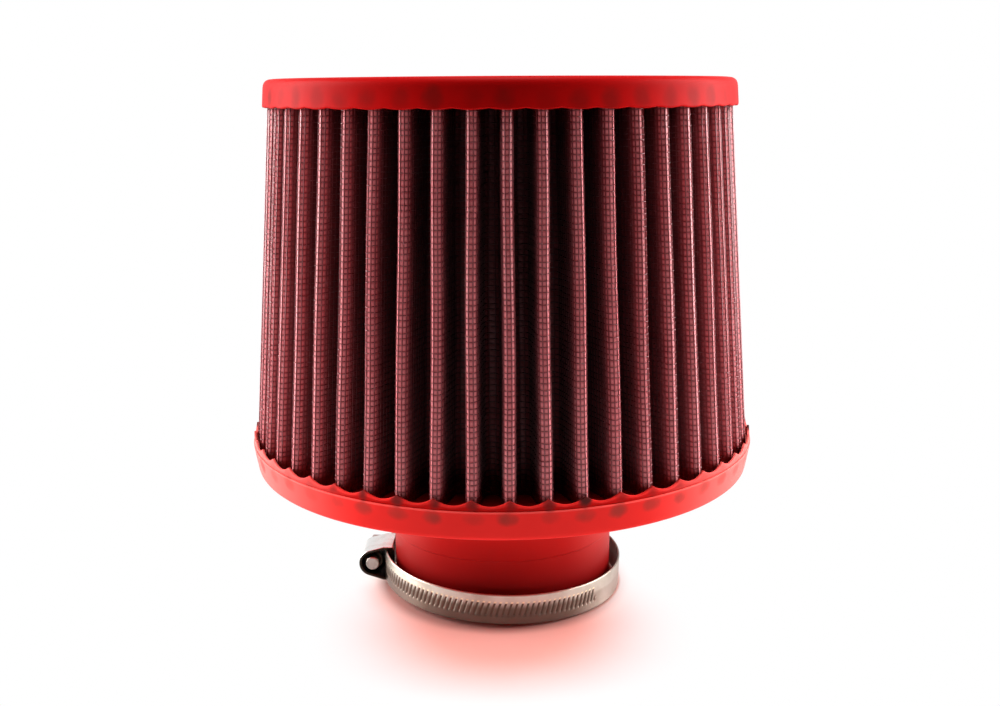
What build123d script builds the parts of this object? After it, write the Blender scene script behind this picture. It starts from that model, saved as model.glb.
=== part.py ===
"""A cone air filter: gauze pleated between two wire screens, cast into a closed cap and a necked base.

Millimetres, +Z up. The neck's open end stands on z = 0 and the filter's axis is the Z axis. The worm-drive
clamp that holds the neck on a pipe lies loose round it, a little tilted, with its housing on the -X side.
"""
import math
import os

from build123d import *

# Neck of the base moulding
neck_bore_radius = 30.0
neck_wall = 4.0
neck_length = 41.6
neck_root_chamfer = 2.0
land_length = 19.5  # seat for the clamp, from the neck's open end
land_recess = 0.4  # depth of that seat below the neck's surface

# Rim of the base moulding
base_wall_height = 8.2  # underside to mould line
base_draft = 1.4  # the rim's wall leans in this much towards the underside
base_edge_chamfer = 1.4
ledge_width = 0.3  # step at the mould line
base_lip_thickness = 0.7  # lip cast round the crests
base_lip_height = 2.9  # where it climbs each crest
base_lip_dip = 1.25  # its height between two crests
base_seat_depth = 0.5  # pleat ends stand this far below the mould line

# Pleats
pleat_count = 49
first_crest_angle = -88.65
pleat_height = 100.55
pleat_depth = 13.0
base_crest_radius = 73.9
cap_crest_radius = 66.2
crest_half_width = 1.85
root_half_width = 2.2
screen_thickness = 0.35
gauze_thickness = 0.6
layer_gap = 0.05

# Top cap
cap_lip_thickness = 1.2
cap_lip_depth = 3.5  # the lip hides this much of the pleats
cap_floor = 4.25  # solid rubber above the pleat ends
cap_draft = 0.6
cap_edge_chamfer = 1.6
lip_clearance = 0.1  # between a lip and the crests inside it

# Clamp
band_width = 9.0
band_thickness = 0.6
clamp_slack = 2.5  # radial room between the loose band and its seat
clamp_tilt = 1.9  # degrees, housing side up
clamp_floor_gap = 0.1
tongue_angle = 14.0  # the fixed end reaches this far past the housing, degrees
tongue_gap = 0.4  # between the fixed end and the neck
free_end_rise = 0.4  # the slotted end stands this much further out at the housing
tail_angle = 24.0  # the slotted end shows this much behind the housing, degrees
strip_gap = 0.1  # between clamp pieces that slide or lie on each other
housing_length = 12.0
housing_wall = 0.8
thread_radius = 3.1
thread_setback = 3.0  # the thread ends this far inside the housing's open end
journal_radius = 2.1
journal_clearance = 0.05
screw_gap = 0.3  # between the turning screw and what it must not touch
head_flats = 5.5
head_length = 5.0
head_slot_width = 1.2
head_slot_depth = 1.6
tip_stand = 0.3  # the screw's tip stands this far out of the housing

# Heights that several pieces share
ledge_height = neck_length + base_wall_height
pleat_foot = ledge_height - base_seat_depth
pleat_head = pleat_foot + pleat_height
cap_edge_height = pleat_head - cap_lip_depth
cap_top = pleat_head + cap_floor
top_scale = cap_crest_radius / base_crest_radius
lip_sides = 2 * pleat_count  # a lip is flat between a crest and the middle of a valley

# Radii that several pieces share
neck_radius = neck_bore_radius + neck_wall
land_radius = neck_radius - land_recess
base_lip_inner = base_crest_radius + lip_clearance
base_lip_outer = base_lip_inner + base_lip_thickness
base_radius = base_lip_outer + ledge_width
crest_slope = (base_crest_radius - cap_crest_radius) / pleat_height
cap_lip_inner = cap_crest_radius + crest_slope * cap_lip_depth + lip_clearance
cap_radius = cap_lip_inner + cap_lip_thickness

os.makedirs("parts", exist_ok=True)


def corner(sketch, across, up):
    """The sketch's vertex nearest to a point of its plane."""
    return sketch.vertices().sort_by_distance(Vector(across, up))[0]


# Base flange: rim and neck turned from half their section, with a lip that climbs the crests
lip_rise = base_lip_height - base_lip_dip
half_pitch = base_lip_outer * math.tan(math.pi / pleat_count)
notch_reach = 2.5  # the cut between two crests goes on past them, in half pitches, to clear the raw lip
with BuildPart() as base_flange:
    with BuildSketch(Plane.XZ) as base_section:
        with BuildLine():
            Polyline(
                (neck_bore_radius, 0),
                (land_radius, 0),
                (land_radius, land_length - land_recess),
                (neck_radius, land_length),
                (neck_radius, neck_length),
                (base_radius - base_draft, neck_length),
                (base_radius, ledge_height),
                (neck_bore_radius, ledge_height),
                close=True,
            )
        make_face()
        chamfer(corner(base_section, neck_radius, neck_length), neck_root_chamfer)
        chamfer(corner(base_section, base_radius - base_draft, neck_length), base_edge_chamfer)
    revolve(axis=Axis.Z)
    with BuildSketch(Plane.XY.offset(ledge_height)):
        RegularPolygon(base_lip_outer, lip_sides, major_radius=False, rotation=first_crest_angle)
    extrude(amount=base_lip_height + lip_rise)
    with BuildSketch(Plane.XY.offset(pleat_foot)):
        RegularPolygon(base_lip_inner, lip_sides, major_radius=False, rotation=first_crest_angle)
    extrude(amount=base_seat_depth + base_lip_height + lip_rise, mode=Mode.SUBTRACT)
    valley_planes = []
    for pleat in range(pleat_count):
        outward = Vector(1, 0, 0).rotate(Axis.Z, first_crest_angle + (pleat + 0.5) * 360 / pleat_count)
        start = outward * (base_lip_inner - base_lip_thickness) + Vector(0, 0, ledge_height + base_lip_dip)
        valley_planes.append(Plane(start, x_dir=outward.rotate(Axis.Z, 90), z_dir=outward))
    with BuildSketch(*valley_planes):
        with BuildLine():
            Polyline(
                (0, 0),
                (half_pitch * notch_reach, lip_rise * notch_reach),
                (-half_pitch * notch_reach, lip_rise * notch_reach),
                close=True,
            )
        make_face()
    extrude(amount=3 * base_lip_thickness, mode=Mode.SUBTRACT)  # one thickness clear on each side
base_flange.part.label = "base_flange"
export_step(base_flange.part, "parts/base_flange.step")

# Top cap: a closed disc with a lip that hides the upper pleat ends
with BuildPart() as top_cap:
    with BuildSketch(Plane.XZ) as cap_section:
        with BuildLine():
            Polyline(
                (0, cap_edge_height),
                (cap_radius, cap_edge_height),
                (cap_radius - cap_draft, cap_top),
                (0, cap_top),
                close=True,
            )
        make_face()
        chamfer(corner(cap_section, cap_radius - cap_draft, cap_top), cap_edge_chamfer)
    revolve(axis=Axis.Z)
    with BuildSketch(Plane.XY.offset(cap_edge_height)):
        RegularPolygon(cap_lip_inner, lip_sides, major_radius=False, rotation=first_crest_angle)
    extrude(amount=cap_lip_depth, mode=Mode.SUBTRACT)
top_cap.part.label = "top_cap"
export_step(top_cap.part, "parts/top_cap.step")

# Pleats: three sheets folded together. Each face of a sheet is the folds' outline moved in by its depth.
root_radius = base_crest_radius - pleat_depth
fold = [
    (root_radius, -root_half_width),
    (base_crest_radius, -crest_half_width),
    (base_crest_radius, crest_half_width),
    (root_radius, root_half_width),
]


def fold_outline(depth):
    """The fold's corners carried round the axis, then each moved in by depth along its mitre."""
    points = []
    for pleat in range(pleat_count):
        azimuth = first_crest_angle + pleat * 360 / pleat_count
        points += [Vector(*point).rotate(Axis.Z, azimuth) for point in fold]
    following = points[1:] + points[:1]
    inward = [(after - here).normalized().rotate(Axis.Z, 90) for here, after in zip(points, following)]
    mitres = []
    for before, after in zip(inward[-1:] + inward[:-1], inward):
        mitres.append((before + after) * (depth / (1 + before.dot(after))))
    return [point + mitre for point, mitre in zip(points, mitres)]


def folded_sheet(face_depth, thickness):
    """A solid of flat walls: each fold runs straight up to the head, where all is top_scale as wide."""
    feet = []
    heads = []
    walls = []
    for outline in (fold_outline(face_depth), fold_outline(face_depth + thickness)):
        foot = [Vector(point.X, point.Y, pleat_foot) for point in outline]
        head = [Vector(point.X * top_scale, point.Y * top_scale, pleat_head) for point in outline]
        for here in range(len(outline)):
            before = here - 1
            walls.append(Face(Wire.make_polygon([foot[before], foot[here], head[here], head[before]])))
        feet.append(Wire.make_polygon(foot))
        heads.append(Wire.make_polygon(head))
    rims = [Face(outer, [inner]) for outer, inner in (feet, heads)]
    return Solid(Shell(walls + rims))


gauze_face = screen_thickness + layer_gap
inner_screen_face = gauze_face + gauze_thickness + layer_gap
sheets = {
    "outer_screen": folded_sheet(0, screen_thickness),
    "gauze_media": folded_sheet(gauze_face, gauze_thickness),
    "inner_screen": folded_sheet(inner_screen_face, screen_thickness),
}
for sheet_name, sheet_solid in sheets.items():
    with BuildPart() as sheet:
        add(sheet_solid)
    sheet.part.label = sheet_name
    export_step(sheet.part, f"parts/{sheet_name}.step")

# Clamp plane: x runs out through the housing, y towards the screw's tip, z along the band's axis
tilt = math.radians(clamp_tilt)
band_radius = land_radius + clamp_slack + band_thickness / 2
band_outside = band_radius + band_thickness / 2
clamp_height = clamp_floor_gap + band_outside * math.sin(tilt) + band_width / 2 * math.cos(tilt)
clamp_plane = Plane(
    origin=(0, 0, clamp_height),
    x_dir=(-math.cos(tilt), 0, math.sin(tilt)),
    z_dir=(math.sin(tilt), 0, math.cos(tilt)),
)

# Clamp band: one strip whose fixed end tucks in under the housing and whose slotted end rides out over it
fixed_end_tuck = (clamp_slack - tongue_gap) / (1 + math.sin(math.radians(tongue_angle)))
fixed_end_radius = band_radius - fixed_end_tuck
free_end_radius = band_radius + free_end_rise
with BuildPart() as clamp_band:
    with BuildLine(clamp_plane) as band_path:
        CenterArc((0, -fixed_end_tuck), fixed_end_radius, tongue_angle, -90 - tongue_angle)
        CenterArc((0, 0), band_radius, -90, -180)
        CenterArc((0, -free_end_rise), free_end_radius, 90, -90 - tail_angle)
    with BuildSketch(Plane(band_path.line @ 0, x_dir=clamp_plane.z_dir, z_dir=band_path.line % 0)):
        Rectangle(band_width, band_thickness)
    sweep()
clamp_band.part.label = "clamp_band"
export_step(clamp_band.part, "parts/clamp_band.step")

# Clamp housing: a pressed tent over the slotted end, open towards the screw's tip, with a wall at its head
head_corner = head_flats / math.sqrt(3)
free_end_outside = free_end_radius + band_thickness / 2
screw_axis = free_end_outside + screw_gap + max(thread_radius, head_corner)
barrel_radius = thread_radius + screw_gap
channel_top = free_end_outside + strip_gap
channel_width = band_width + 2 * strip_gap
housing_width = channel_width + 2 * housing_wall
housing_foot = fixed_end_radius - band_thickness / 2
housing_plane = Plane(
    origin=clamp_plane.from_local_coords(Vector(0, -housing_length / 2, 0)),
    x_dir=clamp_plane.x_dir,
    z_dir=clamp_plane.y_dir,
)
saddle_bottom = fixed_end_radius + band_thickness / 2 + strip_gap
saddle_top = free_end_radius - band_thickness / 2 - strip_gap
with BuildPart() as clamp_housing:
    with BuildSketch(housing_plane):
        with Locations((screw_axis, 0)):
            Circle(barrel_radius + housing_wall)
        with Locations((housing_foot, 0)):
            Rectangle(channel_top - housing_foot, housing_width, align=(Align.MIN, Align.CENTER))
        make_hull()
    extrude(amount=housing_length)
    with BuildSketch(housing_plane.offset(housing_wall)):
        with Locations((screw_axis, 0)):
            Circle(barrel_radius)
        with Locations((housing_foot, 0)):
            Rectangle(channel_top - housing_foot, channel_width, align=(Align.MIN, Align.CENTER))
        make_hull()
    extrude(amount=housing_length - housing_wall, mode=Mode.SUBTRACT)
    with BuildSketch(housing_plane):
        with Locations((housing_foot, 0)):
            Rectangle(channel_top - housing_foot, channel_width, align=(Align.MIN, Align.CENTER))
        with Locations((screw_axis, 0)):
            Circle(journal_radius + journal_clearance)
    extrude(amount=housing_length, mode=Mode.SUBTRACT)
clamp_housing.part.label = "clamp_housing"
export_step(clamp_housing.part, "parts/clamp_housing.step")

# Clamp saddle: the curved bridge between the two band ends
saddle_width = channel_width - 2 * strip_gap
with BuildPart() as clamp_saddle:
    with BuildSketch(clamp_plane.offset(-saddle_width / 2)):
        with Locations((0, -free_end_rise)):
            Circle(saddle_top)
        with Locations((0, -fixed_end_tuck)):
            Circle(saddle_bottom, mode=Mode.SUBTRACT)
        with Locations((band_radius, 0)):
            Rectangle(band_radius, housing_length, mode=Mode.INTERSECT)
    extrude(amount=saddle_width)
clamp_saddle.part.label = "clamp_saddle"
export_step(clamp_saddle.part, "parts/clamp_saddle.step")

# Clamp screw: worm between a journal and a plain tip, hexagon head with a driver slot behind the housing
thread_length = housing_length - housing_wall - screw_gap - thread_setback
with BuildPart() as clamp_screw:
    with BuildSketch(housing_plane.offset(-screw_gap)):
        with Locations((screw_axis, 0)):
            Circle(journal_radius)
    extrude(amount=housing_length + screw_gap + tip_stand)
    with BuildSketch(housing_plane.offset(housing_wall + screw_gap)):
        with Locations((screw_axis, 0)):
            Circle(thread_radius)
    extrude(amount=thread_length)
    with BuildSketch(housing_plane.offset(-screw_gap)):
        with Locations((screw_axis, 0)):
            RegularPolygon(head_flats / 2, 6, major_radius=False)
    extrude(amount=-head_length)
    with BuildSketch(housing_plane.offset(-screw_gap - head_length)):
        with Locations((screw_axis, 0)):
            Rectangle(2 * head_corner, head_slot_width)
    extrude(amount=head_slot_depth, mode=Mode.SUBTRACT)
clamp_screw.part.label = "clamp_screw"
export_step(clamp_screw.part, "parts/clamp_screw.step")
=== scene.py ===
"""The cone air filter as it looks: pleated gauze in wire cloth, soft red ends and a steel clamp."""
import math

import bmesh
import bpy
import numpy as np
from mathutils import Matrix, Vector


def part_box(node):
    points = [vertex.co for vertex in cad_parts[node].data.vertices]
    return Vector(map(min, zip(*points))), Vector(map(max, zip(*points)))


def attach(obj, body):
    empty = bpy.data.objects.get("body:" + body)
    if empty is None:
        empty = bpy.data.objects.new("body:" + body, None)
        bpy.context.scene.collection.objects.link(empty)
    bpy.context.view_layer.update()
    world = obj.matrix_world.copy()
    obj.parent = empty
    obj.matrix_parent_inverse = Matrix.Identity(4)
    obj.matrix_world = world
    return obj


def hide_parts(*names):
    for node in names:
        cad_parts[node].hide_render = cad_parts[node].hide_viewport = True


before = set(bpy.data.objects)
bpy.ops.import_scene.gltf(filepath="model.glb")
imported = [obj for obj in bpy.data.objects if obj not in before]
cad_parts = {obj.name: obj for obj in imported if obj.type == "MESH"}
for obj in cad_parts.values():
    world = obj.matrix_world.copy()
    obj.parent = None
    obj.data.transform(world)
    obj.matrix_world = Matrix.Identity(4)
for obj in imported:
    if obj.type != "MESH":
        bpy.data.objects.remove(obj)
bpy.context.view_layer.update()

# Gauze
# Cotton gauze, several plies thick and wet with red oil. It is folded into a ring of narrow pleats and caught
# between two wire cloths, so it stands out a little in every opening of the mesh. Resin from the base has
# climbed into its foot.
mm = 0.001
pleat_count = 49
pleat_step = 2 * np.pi / pleat_count
first_crest = math.radians(-88.65)
pleat_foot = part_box("gauze_media")[0].z
pleat_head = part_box("gauze_media")[1].z
crest_radius = 73.9 * mm
root_radius = 60.9 * mm
top_scale = 66.2 / 73.9
crest_round = 1.85 * mm
root_round = 1.7 * mm
pleat_sway = 0.22 * mm
sway_bend = 5.2  # turn of the sway's wave from foot to head, in radians
sway_step = 2.4  # its turn from one pleat to the next
mesh_columns = 22
mesh_rows = 68

# The two rounds of half a pleat and the straight flank that touches both
crest_centre = np.array([crest_radius - crest_round, 0.0])
root_centre = (root_radius + root_round) * np.array([np.cos(pleat_step / 2), np.sin(pleat_step / 2)])
between = root_centre - crest_centre
between_length = np.hypot(*between)
flank_heading = np.arctan2(between[1], between[0]) + np.arcsin((crest_round + root_round) / between_length)
crest_turn = flank_heading - np.pi / 2
root_turn = flank_heading - pleat_step / 2 - np.pi / 2
flank_length = np.sqrt(between_length**2 - (crest_round + root_round) ** 2)
half_lengths = np.array([crest_turn * crest_round, flank_length, root_turn * root_round])
half_pleat = half_lengths.sum()


def folded(along, height, depth):
    """The point at a place along the folds, a height from 0 to 1, and a depth below the pleats' outside.

    Along counts pleats from crest to crest. Half a pleat is a round of the crest, a straight flank and a
    round of the root; depth takes from the first radius and adds to the last. All narrows evenly towards the
    head, and between its two ends each pleat sways a little to one side.
    """
    along, height, depth = np.broadcast_arrays(along, height, depth)
    pleat = np.round(along)
    side = np.where(along >= pleat, 1.0, -1.0)
    run = 2 * half_pleat * np.abs(along - pleat)
    on_crest = np.minimum(run / crest_round, crest_turn)
    on_flank = np.clip(run - half_lengths[0], 0, flank_length)
    on_root = np.maximum(run - half_lengths[0] - flank_length, 0) / root_round
    round_in = crest_round - depth
    out = crest_centre[0] + round_in * np.cos(on_crest) + on_flank * np.cos(flank_heading)
    across = round_in * np.sin(on_crest) + on_flank * np.sin(flank_heading)
    root_angle = crest_turn + np.pi - on_root
    root_in = root_round + depth
    out = np.where(on_root > 0, root_centre[0] + root_in * np.cos(root_angle), out)
    across = np.where(on_root > 0, root_centre[1] + root_in * np.sin(root_angle), across)
    wave = np.sin(sway_bend * height + sway_step * (pleat % pleat_count))
    sway = pleat_sway * np.sin(np.pi * height) * wave
    turn = first_crest + pleat * pleat_step + sway / crest_radius
    out = out * (1 + (top_scale - 1) * height)
    across = side * across * (1 + (top_scale - 1) * height)
    x = out * np.cos(turn) - across * np.sin(turn)
    y = out * np.sin(turn) + across * np.cos(turn)
    return np.stack([x, y, pleat_foot + (pleat_head - pleat_foot) * height], axis=-1)


def put_mesh(name, points, quads, triangles=None, corner_uv=None, crease=60):
    """An object at the origin with these points and faces; edges over crease, in degrees, stay sharp."""
    triangles = np.zeros((0, 3), int) if triangles is None else triangles
    corners = np.concatenate([quads.ravel(), triangles.ravel()])
    starts = np.concatenate([np.arange(len(quads)) * 4, quads.size + np.arange(len(triangles)) * 3])
    mesh = bpy.data.meshes.new(name)
    mesh.vertices.add(len(points))
    mesh.vertices.foreach_set("co", points.astype(np.float32).ravel())
    mesh.loops.add(len(corners))
    mesh.loops.foreach_set("vertex_index", corners.astype(np.int32))
    mesh.polygons.add(len(starts))
    mesh.polygons.foreach_set("loop_start", starts.astype(np.int32))
    if corner_uv is not None:
        layer = mesh.uv_layers.new(name="UVMap")
        layer.data.foreach_set("uv", corner_uv.astype(np.float32).ravel())
    mesh.update(calc_edges=True)
    mesh.validate()
    weld = bmesh.new()
    weld.from_mesh(mesh)
    bmesh.ops.remove_doubles(weld, verts=weld.verts, dist=1e-7)
    weld.to_mesh(mesh)
    weld.free()
    mesh.shade_smooth()
    mesh.set_sharp_from_angle(angle=math.radians(crease))
    piece = bpy.data.objects.new(name, mesh)
    bpy.context.scene.collection.objects.link(piece)
    return piece


def put_skin(name, points, u, v, close_rows, close_columns, crease=60):
    """A skin of four-cornered faces over a grid of points. u runs over the columns and v over the rows.

    A direction that closes runs round to its first row or column, and its u or v has one value more.
    """
    rows, columns = points.shape[:2]
    row, column = np.meshgrid(
        np.arange(rows - 1 + close_rows), np.arange(columns - 1 + close_columns), indexing="ij"
    )
    steps = [(0, 0), (0, 1), (1, 1), (1, 0)]
    quads = np.stack([(row + r) % rows * columns + (column + c) % columns for r, c in steps], axis=-1)
    uv = np.stack([np.stack([u[column + c], v[row + r]], axis=-1) for r, c in steps], axis=-2)
    return put_mesh(name, points.reshape(-1, 3), quads.reshape(-1, 4), None, uv.reshape(-1, 2), crease)


def put_sheet(name, outside_depth, thickness, per_pleat, levels, crease):
    """A closed folded sheet: up the outside, over the top edge, down the inside and under the bottom edge.

    Its map counts pleats across and the share of the height up.
    """
    along = (np.arange(pleat_count * per_pleat) + 0.5) / per_pleat
    rise = np.linspace(0, 1, levels)
    height = np.concatenate([rise, rise[::-1]])
    depth = outside_depth + thickness * np.repeat([0, 1], levels)
    points = folded(along[None, :], height[:, None], depth[:, None])
    u = (np.arange(len(along) + 1) + 0.5) / per_pleat
    return put_skin(name, points, u, np.append(height, height[0]), True, True, crease)


class Field:
    """A socket in a node tree. Arithmetic on fields adds Math nodes, and make adds any other node."""

    def __init__(self, tree, socket=None):
        self.tree = tree
        self.socket = socket

    def make(self, kind, settings=None, sockets=None, output=0):
        """A node of this kind: its settings are set first, then its sockets' values or links."""
        node = self.tree.nodes.new(kind)
        for key, value in (settings or {}).items():
            setattr(node, key, value)
        for key, value in (sockets or {}).items():
            if isinstance(value, Field):
                self.tree.links.new(value.socket, node.inputs[key])
            else:
                node.inputs[key].default_value = value
        return Field(self.tree, node.outputs[output] if node.outputs else None)

    def maths(self, operation, *values):
        """A Math node of this operation on the field and the values."""
        return self.make("ShaderNodeMath", {"operation": operation}, dict(enumerate((self, *values))))

    def __add__(self, other):
        return self.maths("ADD", other)

    def __sub__(self, other):
        return self.maths("SUBTRACT", other)

    def __mul__(self, other):
        return self.maths("MULTIPLY", other)

    def __rsub__(self, other):
        return self.make("ShaderNodeMath", {"operation": "SUBTRACT"}, {0: other, 1: self})

    __radd__ = __add__
    __rmul__ = __mul__

    def ramp(self, low, high):
        """0 below low, 1 above high, and smooth between them."""
        return self.make(
            "ShaderNodeMapRange",
            {"interpolation_type": "SMOOTHSTEP"},
            {"Value": self, "From Min": low, "From Max": high},
        )

    def tint(self, first, second):
        """The first colour where this field is 0 and the second where it is 1."""
        factor, colour_a, colour_b, colour_result = 0, 6, 7, 2
        colours = {colour_a: first, colour_b: second}
        for key, colour in colours.items():
            colours[key] = colour if isinstance(colour, Field) else (*colour, 1)
        return self.make("ShaderNodeMix", {"data_type": "RGBA"}, {factor: self, **colours}, colour_result)

    def axis(self, name):
        """The X, Y or Z of a vector."""
        return self.make("ShaderNodeSeparateXYZ", sockets={"Vector": self}, output=name)


def new_material(name):
    """An empty material and a field to start its nodes from."""
    material = bpy.data.materials.new(name)
    material.use_nodes = True
    material.node_tree.nodes.clear()
    return material, Field(material.node_tree)


def noise(start, place, scale, detail=3.0):
    """Soft noise from 0 to 1. Scale is its waves in a unit of place, and detail the finer waves on them."""
    return start.make("ShaderNodeTexNoise", sockets={"Vector": place, "Scale": scale, "Detail": detail})


def finish_material(start, relief, depth, strength, **sockets):
    """Joins the sockets to one Principled shader, whose normal follows a relief of this depth in metres."""
    normal = start.make(
        "ShaderNodeBump", sockets={"Height": relief, "Distance": depth, "Strength": strength}
    )
    named = {key.replace("_", " "): value for key, value in sockets.items()}
    shader = start.make("ShaderNodeBsdfPrincipled", sockets={**named, "Normal": normal})
    start.make("ShaderNodeOutputMaterial", sockets={"Surface": shader})


def object_place(start):
    """A point's place in the piece, in metres."""
    return start.make("ShaderNodeTexCoord", output="Object")


def surface_place(start):
    """Two fields: the piece's own map across and up."""
    place = start.make("ShaderNodeTexCoord", output="UV")
    return place.axis("X"), place.axis("Y")


gauze_pale = (0.92, 0.26, 0.28)
gauze_red = (0.58, 0.055, 0.068)
gauze_fold_shade = (0.070, 0.004, 0.006)
foot_red = (0.20, 0.002, 0.002)
threads_across = 50  # in one pleat
threads_up = 164  # from foot to head
fold_shade = (0.06, 0.17)  # painted shade darkens the gauze between these shares of a pleat from its ridge
resin_end = (0.014, 0.036)  # the resin ends between these shares of the height
gauze_material, start = new_material("oiled_gauze")
across, up = surface_place(start)
cell_across = (across * (2 * math.pi * mesh_columns)).maths("COSINE") * 0.5 + 0.5
cell_up = (up * (2 * math.pi * mesh_rows)).maths("COSINE") * 0.5 + 0.5
cushion = (cell_across * cell_up).maths("SQRT")
thread_across = (across * (2 * math.pi * threads_across)).maths("SINE")
thread_up = (up * (2 * math.pi * threads_up)).maths("SINE")
weave = thread_across * thread_up
oil = noise(start, object_place(start), scale=45, detail=4).ramp(0.35, 0.7)
from_ridge = (across - across.maths("ROUND")).maths("ABSOLUTE")
fold_shade_mask = from_ridge.ramp(*fold_shade)
# The cells are paler in their middles and darker towards the wires, partly from oil gathered at the wires and
# partly as painted light and shade on each bulge.
pale = cushion * (0.65 + 0.30 * oil) + 0.08 * weave
# Painted shade: the gauze goes dark from each crest's ridge down into the folds, a little less towards the
# foot.
gauze_colour = (fold_shade_mask * (0.86 + 0.12 * up)).tint(pale.tint(gauze_red, gauze_pale), gauze_fold_shade)
gauze_colour = up.ramp(*resin_end).tint(foot_red, gauze_colour)
finish_material(
    start,
    relief=cushion + 0.1 * weave,
    depth=0.2 * mm,
    strength=0.5,
    Base_Color=gauze_colour,
    Roughness=0.75 - 0.2 * oil,
    Coat_Weight=0.7 * (1 - fold_shade_mask),
    Coat_Roughness=0.40,
)

gauze_depth = 0.30 * mm
gauze_thickness = 0.70 * mm
gauze = put_sheet("gauze", gauze_depth, gauze_thickness, per_pleat=mesh_columns, levels=9, crease=15)
gauze.data.materials.append(gauze_material)
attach(gauze, "filter")
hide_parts("gauze_media")

# Outer wire cloth
# Plain-woven aluminium wire with a dark red coat, folded with the gauze. Straight wires run up the pleats,
# and bent wires run round them, over one and under the next.
wire_radius = 0.17 * mm
wire_crimp = 0.08 * mm
wire_corners = 3
wire_depth = 0.25 * mm
fold_shade_depth = (1.0 * mm, 6.0 * mm)  # painted shade darkens the wires between these depths below the crests


def frames_along(paths):
    """Two directions square to each open path at each point; the first is away from the filter's axis."""
    ahead = np.gradient(paths, axis=-2)
    ahead /= np.linalg.norm(ahead, axis=-1, keepdims=True)
    outward = paths * [1, 1, 0]
    outward = outward - ahead * (outward * ahead).sum(-1, keepdims=True)
    outward /= np.linalg.norm(outward, axis=-1, keepdims=True)
    return outward, np.cross(ahead, outward)


def put_wires(name, paths, first, second, closed):
    """A wire of a few corners round each of the paths, on the two directions given; open ends get a face."""
    wires, stations = paths.shape[:2]
    angle = 2 * np.pi * np.arange(wire_corners) / wire_corners
    ring = np.cos(angle)[:, None] * first[..., None, :] + np.sin(angle)[:, None] * second[..., None, :]
    points = paths[..., None, :] + wire_radius * ring
    wire, station, corner = np.meshgrid(
        np.arange(wires), np.arange(stations - 1 + closed), np.arange(wire_corners), indexing="ij"
    )

    def index(s, c):
        """The number of the point at a station and a corner of each wire."""
        return (wire * stations + s % stations) * wire_corners + c % wire_corners

    quads = np.stack(
        [
            index(station, corner),
            index(station, corner + 1),
            index(station + 1, corner + 1),
            index(station + 1, corner),
        ],
        axis=-1,
    )
    ends = None
    if not closed:
        foot = np.arange(wires)[:, None] * stations * wire_corners + np.arange(wire_corners)
        head = foot + (stations - 1) * wire_corners
        ends = np.concatenate([foot[:, ::-1], head])
    return put_mesh(name, points.reshape(-1, 3), quads.reshape(-1, 4), ends, None, 180)


def sunk_in_folds(start, place):
    """0 on the crests and 1 some millimetres below them, with the crests' taper taken out."""
    flat = start.make("ShaderNodeVectorMath", {"operation": "MULTIPLY"}, {0: place, 1: (1, 1, 0)})
    reach = start.make("ShaderNodeVectorMath", {"operation": "LENGTH"}, {0: flat}, "Value")
    taper = crest_radius * (top_scale - 1) / (pleat_head - pleat_foot)
    return (crest_radius - taper * pleat_foot + taper * place.axis("Z") - reach).ramp(*fold_shade_depth)


wire_coat = (0.24, 0.030, 0.038)
wire_bare = (0.50, 0.16, 0.17)
wire_fold_shade = (0.035, 0.003, 0.004)
wire_resin_end = (1.4 * mm, 3.6 * mm)
wire_material, start = new_material("coated_wire")
place = object_place(start)
worn = noise(start, place, scale=900, detail=2).ramp(0.5, 0.75)
film = noise(start, place, scale=60).ramp(0.35, 0.7)
sunk = sunk_in_folds(start, place)
# Painted shade: the wires go dark down into the folds.
wire_colour = (sunk * 0.9).tint((worn * 0.5 + film * 0.2).tint(wire_coat, wire_bare), wire_fold_shade)
wire_colour = (place.axis("Z") - pleat_foot).ramp(*wire_resin_end).tint(foot_red, wire_colour)
finish_material(
    start,
    relief=worn,
    depth=0.02 * mm,
    strength=0.4,
    Base_Color=wire_colour,
    Roughness=0.55 - 0.2 * worn,
    Coat_Weight=0.5 * (1 - sunk),
    Coat_Roughness=0.2,
)


def wander(column, row):
    """How far a bent wire strays up or down, in rows: a slow and a quick wave, shifted from wire to wire."""
    slow = 0.10 * np.sin(0.31 * column + 2.1 * row)
    quick = 0.06 * np.sin(1.7 * column - 1.3 * row)
    return slow + quick


columns = np.arange(pleat_count * mesh_columns)
warp_height = np.linspace(0, 1, 9)
warp_paths = folded((columns[:, None] + 0.5) / mesh_columns, warp_height[None, :], wire_depth)
outer_warp = put_wires("outer_screen_warp", warp_paths, *frames_along(warp_paths), False)

rows = np.arange(mesh_rows)
row_height = (rows[:, None] + 0.5 + wander(columns, rows[:, None])) / mesh_rows
over_under = np.where((rows[:, None] + columns[None, :]) % 2, 1, -1)
weft_level = wire_depth + wire_crimp * over_under
weft_paths = folded((columns[None, :] + 0.5) / mesh_columns, row_height, weft_level)
downward = np.broadcast_to([0.0, 0.0, -1.0], weft_paths.shape)
tangent = np.roll(weft_paths, -1, axis=1) - np.roll(weft_paths, 1, axis=1)
aside = np.cross(downward, tangent)
aside /= np.linalg.norm(aside, axis=-1, keepdims=True)
screen_pieces = [outer_warp]
for part, chosen in zip(("lower", "middle", "upper"), np.array_split(rows, 3)):
    name = "outer_screen_weft_" + part
    screen_pieces.append(put_wires(name, weft_paths[chosen], aside[chosen], downward[chosen], True))
for piece in screen_pieces:
    piece.data.materials.append(wire_material)
    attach(piece, "filter")
    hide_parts("outer_screen")

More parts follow.
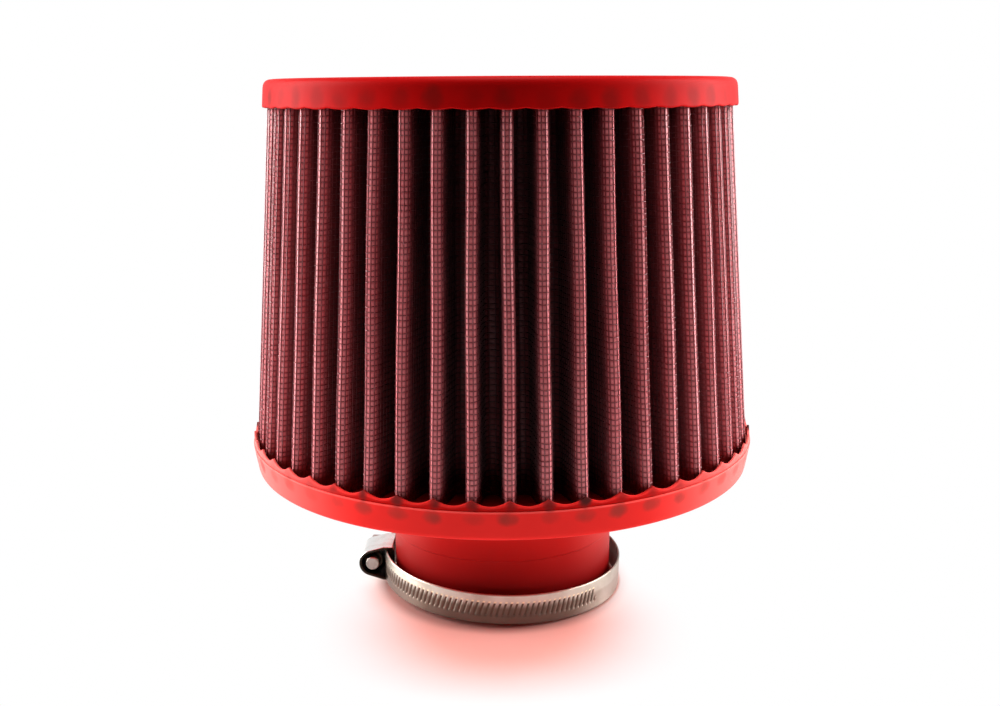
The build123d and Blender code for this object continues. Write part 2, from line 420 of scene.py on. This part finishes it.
# Inner wire cloth
# The same cloth on the clean side of the gauze. Only what shows through the neck is ever seen,
# so it is a thin folded sheet that carries the weave in relief.
inner_material, start = new_material("inner_wire_cloth")
across, up = surface_place(start)
warp = (across * (math.pi * mesh_columns)).maths("SINE").maths("ABSOLUTE")
weft = (up * (math.pi * mesh_rows)).maths("SINE").maths("ABSOLUTE")
wires = warp.maths("MAXIMUM", weft).ramp(0.86, 0.97)
finish_material(
    start,
    relief=wires,
    depth=0.25 * mm,
    strength=0.8,
    Base_Color=wires.tint(gauze_red, wire_coat),
    Roughness=0.75 - 0.3 * wires,
)
inner_depth = 1.05 * mm
inner_thickness = 0.35 * mm
inner_screen = put_sheet(
    "inner_screen_sheet", inner_depth, inner_thickness, per_pleat=mesh_columns, levels=5, crease=60
)
inner_screen.data.materials.append(inner_material)
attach(inner_screen, "filter")
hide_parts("inner_screen")

# Base
# Rim and neck in one pour of soft red polyurethane. The resin climbs each crest, so the lip above
# the mould line is scalloped, and the pleat ends show as brown shadows through the rim's wall.
base_radius = -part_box("base_flange")[0].x
base_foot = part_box("base_flange")[0].z
neck_bore = 30 * mm
neck_land = 33.6 * mm
neck_radius = 34 * mm
land_top = 19.5 * mm
land_step = 0.4 * mm
rim_bottom = 41.6 * mm
ledge = 49.8 * mm
rim_draft = 1.4 * mm
lip_inner = 74.0 * mm
lip_outer = 74.7 * mm
lip_dip = 1.25 * mm
lip_peak = 2.9 * mm
lip_sharpness = 1.9
groove_depth = 0.35 * mm
groove_radius = 74.3 * mm
groove_half = 0.2 * mm
per_scallop = 12
bend_rows = 6
side_reach = 1.4  # of a corner's reach, where its sides are flat again


def lathe(corners, reach, closed):
    """A section carried round the axis. Corners holds radius and height for each corner and column.

    Each corner is rounded by a parabola that leaves its two sides at the given reach, with one more row
    on each side to keep the sides flat.
    """
    before = np.roll(corners, 1, axis=0) - corners
    after = np.roll(corners, -1, axis=0) - corners
    before = before / np.maximum(np.linalg.norm(before, axis=-1, keepdims=True), 1e-9)
    after = after / np.maximum(np.linalg.norm(after, axis=-1, keepdims=True), 1e-9)
    reach = np.asarray(reach)[:, None, None, None]
    t = np.linspace(0, 1, bend_rows)[None, :, None, None]
    start_at = corners[:, None] + reach * before[:, None]
    end_at = corners[:, None] + reach * after[:, None]
    bend = (1 - t) ** 2 * start_at + 2 * t * (1 - t) * corners[:, None] + t**2 * end_at
    lead = corners[:, None] + side_reach * reach * before[:, None]
    trail = corners[:, None] + side_reach * reach * after[:, None]
    section = np.concatenate([lead, bend, trail], axis=1).reshape(-1, corners.shape[1], 2)
    if not closed:
        per_corner = bend_rows + 2
        section = np.concatenate([corners[:1], section[per_corner:-per_corner], corners[-1:]])
    return section


def put_lathe(name, corners, reach, closed):
    """A lathed skin whose map counts pleats across and millimetres up the outside, and on over the top."""
    section = lathe(corners, reach, closed)
    angle = first_crest + np.arange(corners.shape[1]) * pleat_step / per_scallop
    radius, height = section[..., 0], section[..., 1]
    points = np.stack([radius * np.cos(angle), radius * np.sin(angle), height], axis=-1)
    u = np.arange(corners.shape[1] + 1) / per_scallop
    v = height.mean(1) / mm
    v[np.argmax(v) :] = 2 * v.max() - v[np.argmax(v) :]
    return put_skin(name, points, u, np.append(v, v[0]), closed, True, crease=50)


scallop = np.arange(pleat_count * per_scallop) / per_scallop
from_crest = np.abs(scallop - np.round(scallop)) * 2
lip_top = ledge + lip_dip + (lip_peak - lip_dip) * (1 - from_crest) ** lip_sharpness


def corner_row(radius, height):
    """One corner of a section, repeated for each column; either value may vary round the axis."""
    return np.stack(np.broadcast_arrays(radius, height, scallop)[:2], axis=-1)


base_corners = np.stack(
    [
        corner_row(neck_bore, base_foot),
        corner_row(neck_land, base_foot),
        corner_row(neck_land, land_top - land_step),
        corner_row(neck_radius, land_top),
        corner_row(neck_radius, rim_bottom),
        corner_row(base_radius - rim_draft, rim_bottom),
        corner_row(base_radius, ledge),
        corner_row(groove_radius + groove_half, ledge),
        corner_row(groove_radius, ledge - groove_depth),
        corner_row(lip_outer, ledge + groove_depth),
        corner_row(lip_outer, lip_top),
        corner_row(lip_inner, lip_top),
        corner_row(lip_inner, pleat_foot),
        corner_row(neck_bore, pleat_foot),
    ]
)
base_reach = np.array([0.8, 0.9, 0.12, 0.12, 2.2, 1.6, 0.2, 0.08, 0.1, 0.1, 0.22, 0.22, 0.1, 0.8]) * mm

base_red = (0.84, 0.024, 0.020)
neck_painted_shade = (0.16, 0.003, 0.003)
base_stain = (0.21, 0.034, 0.026)
lip_tint_and_shade = (0.085, 0.014, 0.013)
base_painted_sheen = (0.97, 0.30, 0.27)
sheen_sides = (35 * mm, 75 * mm)  # the painted sheen comes in between these distances to either side
sheen_share = 0.5
neck_sides = (17 * mm, 34 * mm)  # and on the neck between these
neck_sheen_share = 0.35
neck_heights = (8, 40)
neck_end = (40, 42)
spot_shade_sides = (12 * mm, 58 * mm)  # the spots' painted shade fades between these distances and comes back at the far ends
spot_shade_ends = (72 * mm, 74.5 * mm)  # and come back at the far ends


def cast_rubber(name, darker_at, darker, red_at, red, side_sheen, spots, layers=(), mottle=0.14, shine=0.03):
    """Satin resin, darker at one height and red at another, stained where pleat ends show through.

    All heights are in millimetres. On the base the darker neck is painted shade. Side sheen is a painted
    sheen, a paler colour that comes in towards the two sides. There is one spot on every crest for each row
    of spots: its height and half height, its half width as a share of a pleat, how strong it is, the share of
    that lost at the sides, where its painted shade fades, and its colour. A layer is a colour that comes in
    between two heights and goes out again between two more; on the base the layers are a painted highlight
    and painted shade. Mottle is how much the red comes and goes, and shine the shader's specular level.
    """
    material, start = new_material(name)
    across, up = surface_place(start)
    place = object_place(start)
    number = across.maths("ROUND")
    blotch = noise(start, place, scale=190)
    cloud = noise(start, place, scale=28)
    # Darker towards one height; on the base this is painted shade on the neck.
    colour = (up.ramp(darker_at, red_at) * (1 - mottle + mottle * cloud.ramp(0.35, 0.7))).tint(darker, red)
    for layer_colour, (low, full), (fading, gone) in layers:
        colour = (up.ramp(low, full) * (1 - up.ramp(fading, gone))).tint(colour, layer_colour)
    # Painted sheen: paler towards the two sides, on the rim and on the neck's sides.
    sideways = place.axis("X").maths("ABSOLUTE")
    colour = (sideways.ramp(*sheen_sides) * sheen_share).tint(colour, side_sheen)
    on_neck = up.ramp(*neck_heights) * (1 - up.ramp(*neck_end))
    colour = (sideways.ramp(*neck_sides) * on_neck * neck_sheen_share).tint(colour, side_sheen)
    # Each row of spots loses a share of its strength towards the sides, where its painted shade fades.
    lost_by = sideways.ramp(*spot_shade_sides) * (1 - sideways.ramp(*spot_shade_ends))
    for row, (height, half_height, half_width, strength, lost, stain) in enumerate(spots):
        seed = number.maths("MODULO", pleat_count) + (3.0 + 60.0 * row)
        chance = start.make("ShaderNodeTexWhiteNoise", {"noise_dimensions": "1D"}, {"W": seed})
        aside = (across - number) * (1 / half_width) + 0.5 * (chance - 0.5)
        above = (up - height) * (1 / half_height)
        away = aside * aside + above * above + 2.4 * (blotch - 0.5)
        spot = (1 - away.ramp(-0.3, 1.5)) * (0.4 + 0.6 * chance)
        colour = (spot * (strength - strength * lost * lost_by)).tint(colour, stain)
    grain = noise(start, place, scale=1500, detail=2)
    ripple = noise(start, place, scale=90, detail=2)
    finish_material(
        start,
        relief=grain * 0.3 + ripple,
        depth=0.12 * mm,
        strength=0.35,
        Base_Color=colour,
        Roughness=0.34 + 0.14 * cloud + 0.06 * grain,
        Specular_IOR_Level=shine,
    )
    return material


base = put_lathe("base_casting", base_corners, base_reach, True)
rim_spots = (47.9, 2.0, 0.28, 0.8, 0.1, base_stain)
# The lip's tips are brown where the resin is thin over the crests, and at the front they also carry painted
# shade.
lip_spots = (51.4, 1.9, 0.18, 1.9, 0.9, lip_tint_and_shade)
# A painted highlight on the ledge's edge, painted shade on the lip's foot above it, and painted shade on the
# valley floors between the pleats.
ledge_highlight = ((0.95, 0.08, 0.07), (49.3, 49.5), (49.8, 49.9))
lip_foot_shade = ((0.50, 0.004, 0.003), (49.8, 49.9), (50.6, 51.2))
valley_floor_shade = ((0.35, 0.002, 0.002), (52.6, 53.8), (60, 61))
# The neck darkens towards its foot as painted shade under the rim and inside the band.
base_rubber = cast_rubber(
    "base_rubber",
    darker_at=4,
    darker=neck_painted_shade,
    red_at=44,
    red=base_red,
    side_sheen=base_painted_sheen,
    spots=[rim_spots, lip_spots],
    layers=[ledge_highlight, lip_foot_shade, valley_floor_shade],
)
base.data.materials.append(base_rubber)
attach(base, "filter")
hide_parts("base_flange")

# Top cap
# A closed disc of the same polyurethane, poured in a shallow mould with the pleats standing in it.
# Its lower edge sags a little at each crest, where the resin has wetted the wire, and its top is dull
# and clouded from the mould's floor.
cap_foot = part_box("top_cap")[0].z
cap_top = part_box("top_cap")[1].z
cap_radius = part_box("top_cap")[1].x
cap_lip_inner = 66.57 * mm
cap_draft = 0.6 * mm
cap_sag = 0.4 * mm
cap_sag_sharpness = 1.5
flat_enough = 0.97  # upward part of a normal, on the top
cap_edge = cap_foot + cap_sag * from_crest**cap_sag_sharpness
cap_corners = np.stack(
    [
        corner_row(0.0, cap_top),
        corner_row(cap_radius - cap_draft, cap_top),
        corner_row(cap_radius, cap_edge),
        corner_row(cap_lip_inner, cap_edge),
        corner_row(cap_lip_inner, pleat_head),
        corner_row(0.0, pleat_head),
    ]
)
cap_reach = np.array([0.1, 2.4, 0.5, 0.25, 0.1, 0.1]) * mm
cap = put_lathe("cap_casting", cap_corners[::-1], cap_reach[::-1], False)
cap_red = (0.48, 0.003, 0.003)
cap_deep = (0.36, 0.002, 0.002)
cap_stain = (0.16, 0.006, 0.005)
# A faint painted sheen towards the cap's sides.
cap_painted_sheen = (0.48, 0.02, 0.02)
cap_spots = (149.1, 3.0, 0.32, 0.75, 0.0, cap_stain)
cap_dull = (0.26, 0.002, 0.002)
cap_rubber = cast_rubber(
    "cap_rubber",
    darker_at=154,
    darker=cap_deep,
    red_at=146,
    red=cap_red,
    side_sheen=cap_painted_sheen,
    spots=[cap_spots],
    shine=0.02,
)
cap_top_rubber = cast_rubber(
    "cap_top_rubber",
    darker_at=170,
    darker=cap_dull,
    red_at=150,
    red=cap_red,
    side_sheen=cap_painted_sheen,
    spots=[],
    mottle=0.5,
    shine=0.0,
)


def give_second(piece, first, second, chosen):
    """Two materials on a piece: the second on the chosen faces and the first on the rest."""
    piece.data.materials.append(first)
    piece.data.materials.append(second)
    piece.data.polygons.foreach_set("material_index", chosen.astype(np.int32))


def of_faces(piece, kind):
    """The centre or the normal of each face of a piece, one row for each."""
    values = np.zeros(3 * len(piece.data.polygons))
    piece.data.polygons.foreach_get(kind, values)
    return values.reshape(-1, 3)


give_second(cap, cap_rubber, cap_top_rubber, of_faces(cap, "normal")[:, 2] > flat_enough)
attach(cap, "filter")
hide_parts("top_cap")

# Clamp band
# One strip of stainless steel, rolled into a loop that lies loose round the neck, its housing a little up.
# One end is fixed under the housing. The other is pressed with slanting slots for the worm and rides over
# it. Its colour carries a painted glint along the slots' upper ends, and painted shade in the slots, along
# the lower margin and on the plain end.
band_width = 9.0 * mm
band_thickness = 0.6 * mm
band_radius = 36.4 * mm
fixed_tuck = 1.6909 * mm
free_rise = 0.4 * mm
fixed_end, fixed_join, free_join, free_end = np.radians([14, -90, -270, -384])
slots_end = math.radians(-222)
slot_pitch = 1.6 * mm
slot_reach = 2.0 * mm
slot_depth = 0.24 * mm
slot_slant = -0.27
slot_wall = (-0.1, 0.75)  # a slot's wall lies between these heights of its cosine
slot_fade = (0.35 * mm, 0.2 * mm)  # how far inside and outside its reach a slot ends
plain_tip = 0.03  # of the free end without slots, in radians
clamp_tilt = math.radians(1.9)
clamp_height = 5.8143 * mm
plain_steps = 130
slotted_steps = 560
face_steps = 30
clamp_out = np.array([-math.cos(clamp_tilt), 0, math.sin(clamp_tilt)])
clamp_front = np.array([0, -1, 0])
clamp_up = np.array([math.sin(clamp_tilt), 0, math.cos(clamp_tilt)])


def eased(value, low, high):
    """0 below low, 1 above high, and smooth between them."""
    t = np.clip((value - low) / (high - low), 0, 1)
    return t * t * (3 - 2 * t)


def band_points(angle, width, side):
    """A point of the band: an angle round the loop, a place across its width, a share of half its thickness.

    The loop is three arcs that touch. Each slot is a ridge of a cosine along the strip, slanted across it,
    cut off at the slots' reach, and pressed inwards on both faces.
    """
    angle, width, side = np.broadcast_arrays(angle, width, side)
    fixed = angle > fixed_join
    free = angle < free_join
    shift = np.where(fixed, -fixed_tuck, np.where(free, -free_rise, 0))
    radius = band_radius - np.where(fixed, fixed_tuck, np.where(free, -free_rise, 0))
    run = angle * band_radius + slot_slant * width
    slot = eased(np.cos(2 * np.pi * run / slot_pitch), *slot_wall)
    slot = slot * (1 - eased(np.abs(width), slot_reach - slot_fade[0], slot_reach + slot_fade[1]))
    slot = slot * (angle < slots_end) * (angle > free_end + plain_tip)
    out = radius + side * band_thickness / 2 - slot_depth * slot
    flat = np.stack([out * np.cos(angle), shift + out * np.sin(angle), width], axis=-1)
    turned = flat @ np.stack([clamp_out, clamp_front, clamp_up])
    return turned + [0, 0, clamp_height]


plain_angles = np.linspace(fixed_end, slots_end, plain_steps)
slotted_angles = np.linspace(slots_end, free_end, slotted_steps)[1:]
band_angles = np.concatenate([plain_angles, slotted_angles])
edge_turn = np.linspace(0, np.pi, 5)[1:-1]
face = np.linspace(-1, 1, face_steps) * (band_width / 2 - band_thickness / 2)
edge_reach = band_width / 2 - band_thickness / 2 + band_thickness / 2 * np.sin(edge_turn)
ring_width = np.concatenate([face, edge_reach, face[::-1], -edge_reach])
flat_side = np.ones(face_steps)
ring_side = np.concatenate([flat_side, np.cos(edge_turn), -flat_side, -np.cos(edge_turn)])
end_taper = np.ones(len(band_angles))
end_taper[[0, -1]] = 0
band_grid = band_points(band_angles[None, :], ring_width[:, None], ring_side[:, None] * end_taper[None, :])

band_steel = (0.80, 0.72, 0.63)
band_stain = (0.44, 0.35, 0.27)
band_painted_shade = (0.115, 0.070, 0.050)
band_painted_glint = (1.0, 0.86, 0.55)
band_material, start = new_material("stainless_band")
across, up = surface_place(start)
place = object_place(start)
streak_place = start.make("ShaderNodeCombineXYZ", sockets={"X": across * 0.06, "Y": up * 6.0})
streak = noise(start, streak_place, scale=4.0)
cloud = noise(start, place, scale=120)
slots_end_at = slots_end * band_radius / mm
slot_edge = slot_reach / mm
low_shade_top = 2.8
low_shade_fade = 8  # either side of the slots' end
plain_run = 16  # of painted shade beyond the slots
edge_shade = (4.05, 4.25)  # the painted shade is heavier on the upper edge
slot_wave = ((across + slot_slant * up) * (2 * math.pi * mm / slot_pitch)).maths("COSINE").ramp(-0.2, 0.6)
slot_span = 1 - across.ramp(slots_end_at - 0.5, slots_end_at + 0.5)
soft_span = 1 - across.ramp(slots_end_at - low_shade_fade, slots_end_at + low_shade_fade)
slotted = slot_span * (1 - up.maths("ABSOLUTE").ramp(slot_edge - 0.4, slot_edge + 0.1))
# A painted glint along the upper ends of the slots.
slot_glint = slot_span * slot_wave * (1 - (up - slot_edge - 0.2).maths("ABSOLUTE").ramp(0.1, 0.4))
# Painted shade: along the lower margin, stronger on the slotted run, and over the plain end, heavier at its
# upper edge.
low_painted_shade = (0.60 + 0.33 * soft_span) * (1 - up.ramp(0.0, low_shade_top))
plain_end_shade = across.ramp(slots_end_at - plain_run, slots_end_at) * (0.48 + 0.25 * up.ramp(*edge_shade))
# Film here is all painted shade: in the slots, along the lower margin and on the plain end.
film = (slot_wave * slotted).maths("MAXIMUM", low_painted_shade).maths("MAXIMUM", plain_end_shade)
steel = (cloud.ramp(0.4, 0.7) * 0.5 + streak * 0.3).tint(band_steel, band_stain)
finish_material(
    start,
    relief=streak,
    depth=0.015 * mm,
    strength=0.5,
    Base_Color=(slot_glint * 0.8).tint((film * 0.97).tint(steel, band_painted_shade), band_painted_glint),
    Metallic=1.0,
    Roughness=0.26 + 0.14 * streak + 0.08 * cloud,
    Anisotropic=0.7,
    Anisotropic_Rotation=0.25,
)
band_u = band_angles * band_radius / mm
band_v = np.append(ring_width, ring_width[0]) / mm
band = put_skin("clamp_band_strip", band_grid[:, ::-1], band_u[::-1], band_v, True, False, crease=50)
band.data.materials.append(band_material)
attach(band, "filter")
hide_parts("clamp_band")

# Clamp housing
# A tent of bright steel sheet, pressed and folded over the slotted end of the band, where it holds the screw.
# Inside and on its cut edges it is painted near-black, as painted shade.


def eased_copy(node, name, width):
    """A welded copy of a CAD node whose edges are broken by a small bevel."""
    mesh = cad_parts[node].data.copy()
    mesh.name = name
    mesh.materials.clear()
    weld = bmesh.new()
    weld.from_mesh(mesh)
    bmesh.ops.remove_doubles(weld, verts=weld.verts, dist=1e-6)
    bmesh.ops.dissolve_limit(weld, angle_limit=math.radians(1), verts=weld.verts, edges=weld.edges)
    weld.to_mesh(mesh)
    weld.free()
    piece = bpy.data.objects.new(name, mesh)
    bpy.context.scene.collection.objects.link(piece)
    bevel = piece.modifiers.new("broken_edges", "BEVEL")
    bevel.width = width
    bevel.segments = 2
    bevel.limit_method = "ANGLE"
    bevel.angle_limit = math.radians(35)
    mesh.shade_smooth()
    mesh.set_sharp_from_angle(angle=math.radians(40))
    return piece


def turned_steel(name, bright, dull, rough):
    """Steel with fine tool marks, duller in patches."""
    material, start = new_material(name)
    place = object_place(start)
    cloud = noise(start, place, scale=250)
    marks = noise(start, place, scale=3000, detail=2)
    finish_material(
        start,
        relief=marks,
        depth=0.01 * mm,
        strength=0.5,
        Base_Color=cloud.ramp(0.4, 0.7).tint(bright, dull),
        Metallic=1.0,
        Roughness=rough + 0.15 * cloud,
    )
    return material


pressing = turned_steel("stainless_pressing", (0.99, 0.98, 0.96), (0.92, 0.90, 0.87), rough=0.16)
# Near-black steel as painted shade: the housing's inside and cut edges, the saddle and the screw's thread,
# all in the dark.
painted_shade_steel = turned_steel("painted_shade_steel", (0.060, 0.046, 0.034), (0.025, 0.018, 0.012), rough=0.45)
housing_bevel = 0.18 * mm
least_outside = 0.5 * mm  # a face that looks away from the screw by less than this is inside or a cut edge
housing = eased_copy("clamp_housing", "clamp_housing_pressing", housing_bevel)
screw_low, screw_high = (np.array(corner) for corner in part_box("clamp_screw"))
from_screw = of_faces(housing, "center") - (screw_low + screw_high) / 2
looking_out = (from_screw * of_faces(housing, "normal") * [1, 0, 1]).sum(1)
give_second(housing, pressing, painted_shade_steel, looking_out < least_outside)
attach(housing, "filter")
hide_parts("clamp_housing")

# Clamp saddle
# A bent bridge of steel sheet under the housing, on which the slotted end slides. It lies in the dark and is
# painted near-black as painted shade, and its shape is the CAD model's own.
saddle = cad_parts["clamp_saddle"]
saddle.data.materials.clear()
saddle.data.materials.append(painted_shade_steel)

# Clamp screw
# A turned and plated worm screw with a slotted hexagon head, which turns in the housing. The thread between
# its tip and its head, inside the housing, is painted near-black as painted shade.
screw_bevel = 0.35 * mm
thread_from_tip = 2.5 * mm
head_length = 5.1 * mm
plating = turned_steel("plated_screw", (0.50, 0.44, 0.40), (0.34, 0.28, 0.24), rough=0.30)
screw = eased_copy("clamp_screw", "clamp_screw_turned", screw_bevel)
along_screw = of_faces(screw, "center")[:, 1]
on_thread = (along_screw > screw_low[1] + thread_from_tip) & (along_screw < screw_high[1] - head_length)
give_second(screw, plating, painted_shade_steel, on_thread)
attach(screw, "worm_screw")
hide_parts("clamp_screw")

# Floor
# A round white table. It is white to the camera and in mirrors, and only near the neck does it show its own
# surface under the lamps, with a painted red glow from the rim and a painted contact shadow round the neck.
floor_radius = 0.42
floor_corners = 64
floor_ring_count = 8
table_white = (0.68, 0.68, 0.68)
glow_pale = (0.86, 0.49, 0.42)
painted_contact_shadow = (0.50, 0.27, 0.23)
mirror_clear = 0.6  # how white the surface is in mirrors near the neck
fade_ripple = 0.004  # how far noise pushes the fades in and out
neck_fade = (0.037, 0.052)
seen_fade = (0.034, 0.0465)
seen_centre = (-0.003, 0, 0)
glow_fade = (0.020, 0.058)
glow_centre = (0, -0.034, 0)
loop_edge = (0.0365, 0.0375)  # inside the clamp's loop the camera sees no white
contact_shadow_fade = (0.0365, 0.0415)
floor_angle = 2 * np.pi * np.arange(floor_corners) / floor_corners
floor_rings = np.linspace(floor_radius, 0, floor_ring_count)
floor_points = np.stack(
    [
        floor_rings[:, None] * np.cos(floor_angle),
        floor_rings[:, None] * np.sin(floor_angle),
        np.zeros((len(floor_rings), len(floor_angle))),
    ],
    axis=-1,
)
floor = put_skin("floor", floor_points, np.arange(floor_corners + 1), floor_rings, False, True)
floor_material, start = new_material("white_table")
place = object_place(start)
ripple = fade_ripple * noise(start, place, scale=30, detail=2)


def away_from(centre):
    """A floor point's distance from a centre."""
    return start.make("ShaderNodeVectorMath", {"operation": "DISTANCE"}, {0: place, 1: centre}, "Value")


from_neck = away_from((0, 0, 0))
off_glow = (away_from(glow_centre) + ripple).ramp(*glow_fade)
far = (from_neck + ripple).ramp(*neck_fade) * off_glow
seen_far = (away_from(seen_centre) + ripple).ramp(*seen_fade) * off_glow * from_neck.ramp(*loop_edge)
seen = start.make("ShaderNodeLightPath", output="Is Camera Ray")
mirrored = start.make("ShaderNodeLightPath", output="Is Glossy Ray")
# Near the neck the table's colour is a painted red glow, with a painted contact shadow closest to the neck.
near_colour = from_neck.ramp(*contact_shadow_fade).tint(painted_contact_shadow, glow_pale)
table_colour = far.maths("MAXIMUM", mirror_clear * mirrored).tint(near_colour, table_white)
table = start.make("ShaderNodeBsdfPrincipled", sockets={"Base Color": table_colour, "Roughness": 0.5})
white = start.make("ShaderNodeEmission", sockets={"Color": (1, 1, 1, 1), "Strength": 1.0})
whitened = (seen * seen_far).maths("MAXIMUM", mirrored * far)
faded = start.make("ShaderNodeMixShader", sockets={0: whitened, 1: table, 2: white})
start.make("ShaderNodeOutputMaterial", sockets={"Surface": faded})
floor.data.materials.append(floor_material)

# Light
# A studio with a soft light overhead, a soft box at each side and a pale backdrop behind. The camera's side
# of the room is dark, and the camera itself sees plain white.
backdrop_fade = (-0.75, 0.15)  # how far a ray heads to the back
room_dark, room_pale = 0.02, 0.12
mirror_dark, mirror_pale = 0.04, 0.75
world = bpy.data.worlds.new("studio")
bpy.context.scene.world = world
world.use_nodes = True
world.node_tree.nodes.clear()
start = Field(world.node_tree)
ray_kinds = ("Is Camera Ray", "Is Glossy Ray", "Is Transmission Ray")
camera_ray, glossy_ray, transmission_ray = (start.make("ShaderNodeLightPath", output=k) for k in ray_kinds)
backdrop = start.make("ShaderNodeTexCoord", output="Generated").axis("Y").ramp(*backdrop_fade)
ambient = room_dark + room_pale * backdrop
in_mirrors = mirror_dark + mirror_pale * backdrop
reflected = glossy_ray.maths("MAXIMUM", transmission_ray)
level = (1 - camera_ray) * (ambient + reflected * (in_mirrors - ambient)) + camera_ray
world_light = start.make("ShaderNodeBackground", sockets={"Color": (1, 1, 1, 1), "Strength": level})
start.make("ShaderNodeOutputWorld", sockets={"Surface": world_light})


def soft_box(name, place, target, size, power):
    """A rectangular soft light at a place, turned to face a target."""
    lamp = bpy.data.lights.new(name, "AREA")
    lamp.shape = "RECTANGLE"
    lamp.size, lamp.size_y = size
    lamp.energy = power
    box = bpy.data.objects.new(name, lamp)
    facing = (Vector(target) - Vector(place)).to_track_quat("-Z", "Y")
    box.matrix_world = Matrix.Translation(place) @ facing.to_matrix().to_4x4()
    bpy.context.scene.collection.objects.link(box)


side_target = (0, 0, 0.10)
side_size = (0.40, 0.48)
side_power = 7.4
soft_box("left_box", (-0.50, 0.07, 0.26), side_target, side_size, side_power)
soft_box("right_box", (0.50, 0.07, 0.26), side_target, side_size, side_power)
soft_box("top_box", (0.0, 0.0, 0.70), target=(0, 0, 0), size=(0.22, 0.22), power=4.0)

# Camera
# It stands in front of the filter, a little above the cap's lower edge, and looks down by about 13 degrees.
# Its lens is a little wider than normal, and it is rolled by a third of a degree.
camera_place = (-0.46 * mm, -341 * mm, 150.9 * mm)
camera_pitch = 0.225
camera_roll = -0.0055
camera_data = bpy.data.cameras.new("camera")
camera_data.sensor_width = 36
camera_data.lens = 41.4
camera = bpy.data.objects.new("camera", camera_data)
camera.matrix_world = (
    Matrix.Translation(camera_place)
    @ Matrix.Rotation(math.pi / 2 - camera_pitch, 4, "X")
    @ Matrix.Rotation(camera_roll, 4, "Z")
)
bpy.context.scene.collection.objects.link(camera)
bpy.context.scene.camera = camera
bpy.context.scene.view_settings.view_transform = "Standard"
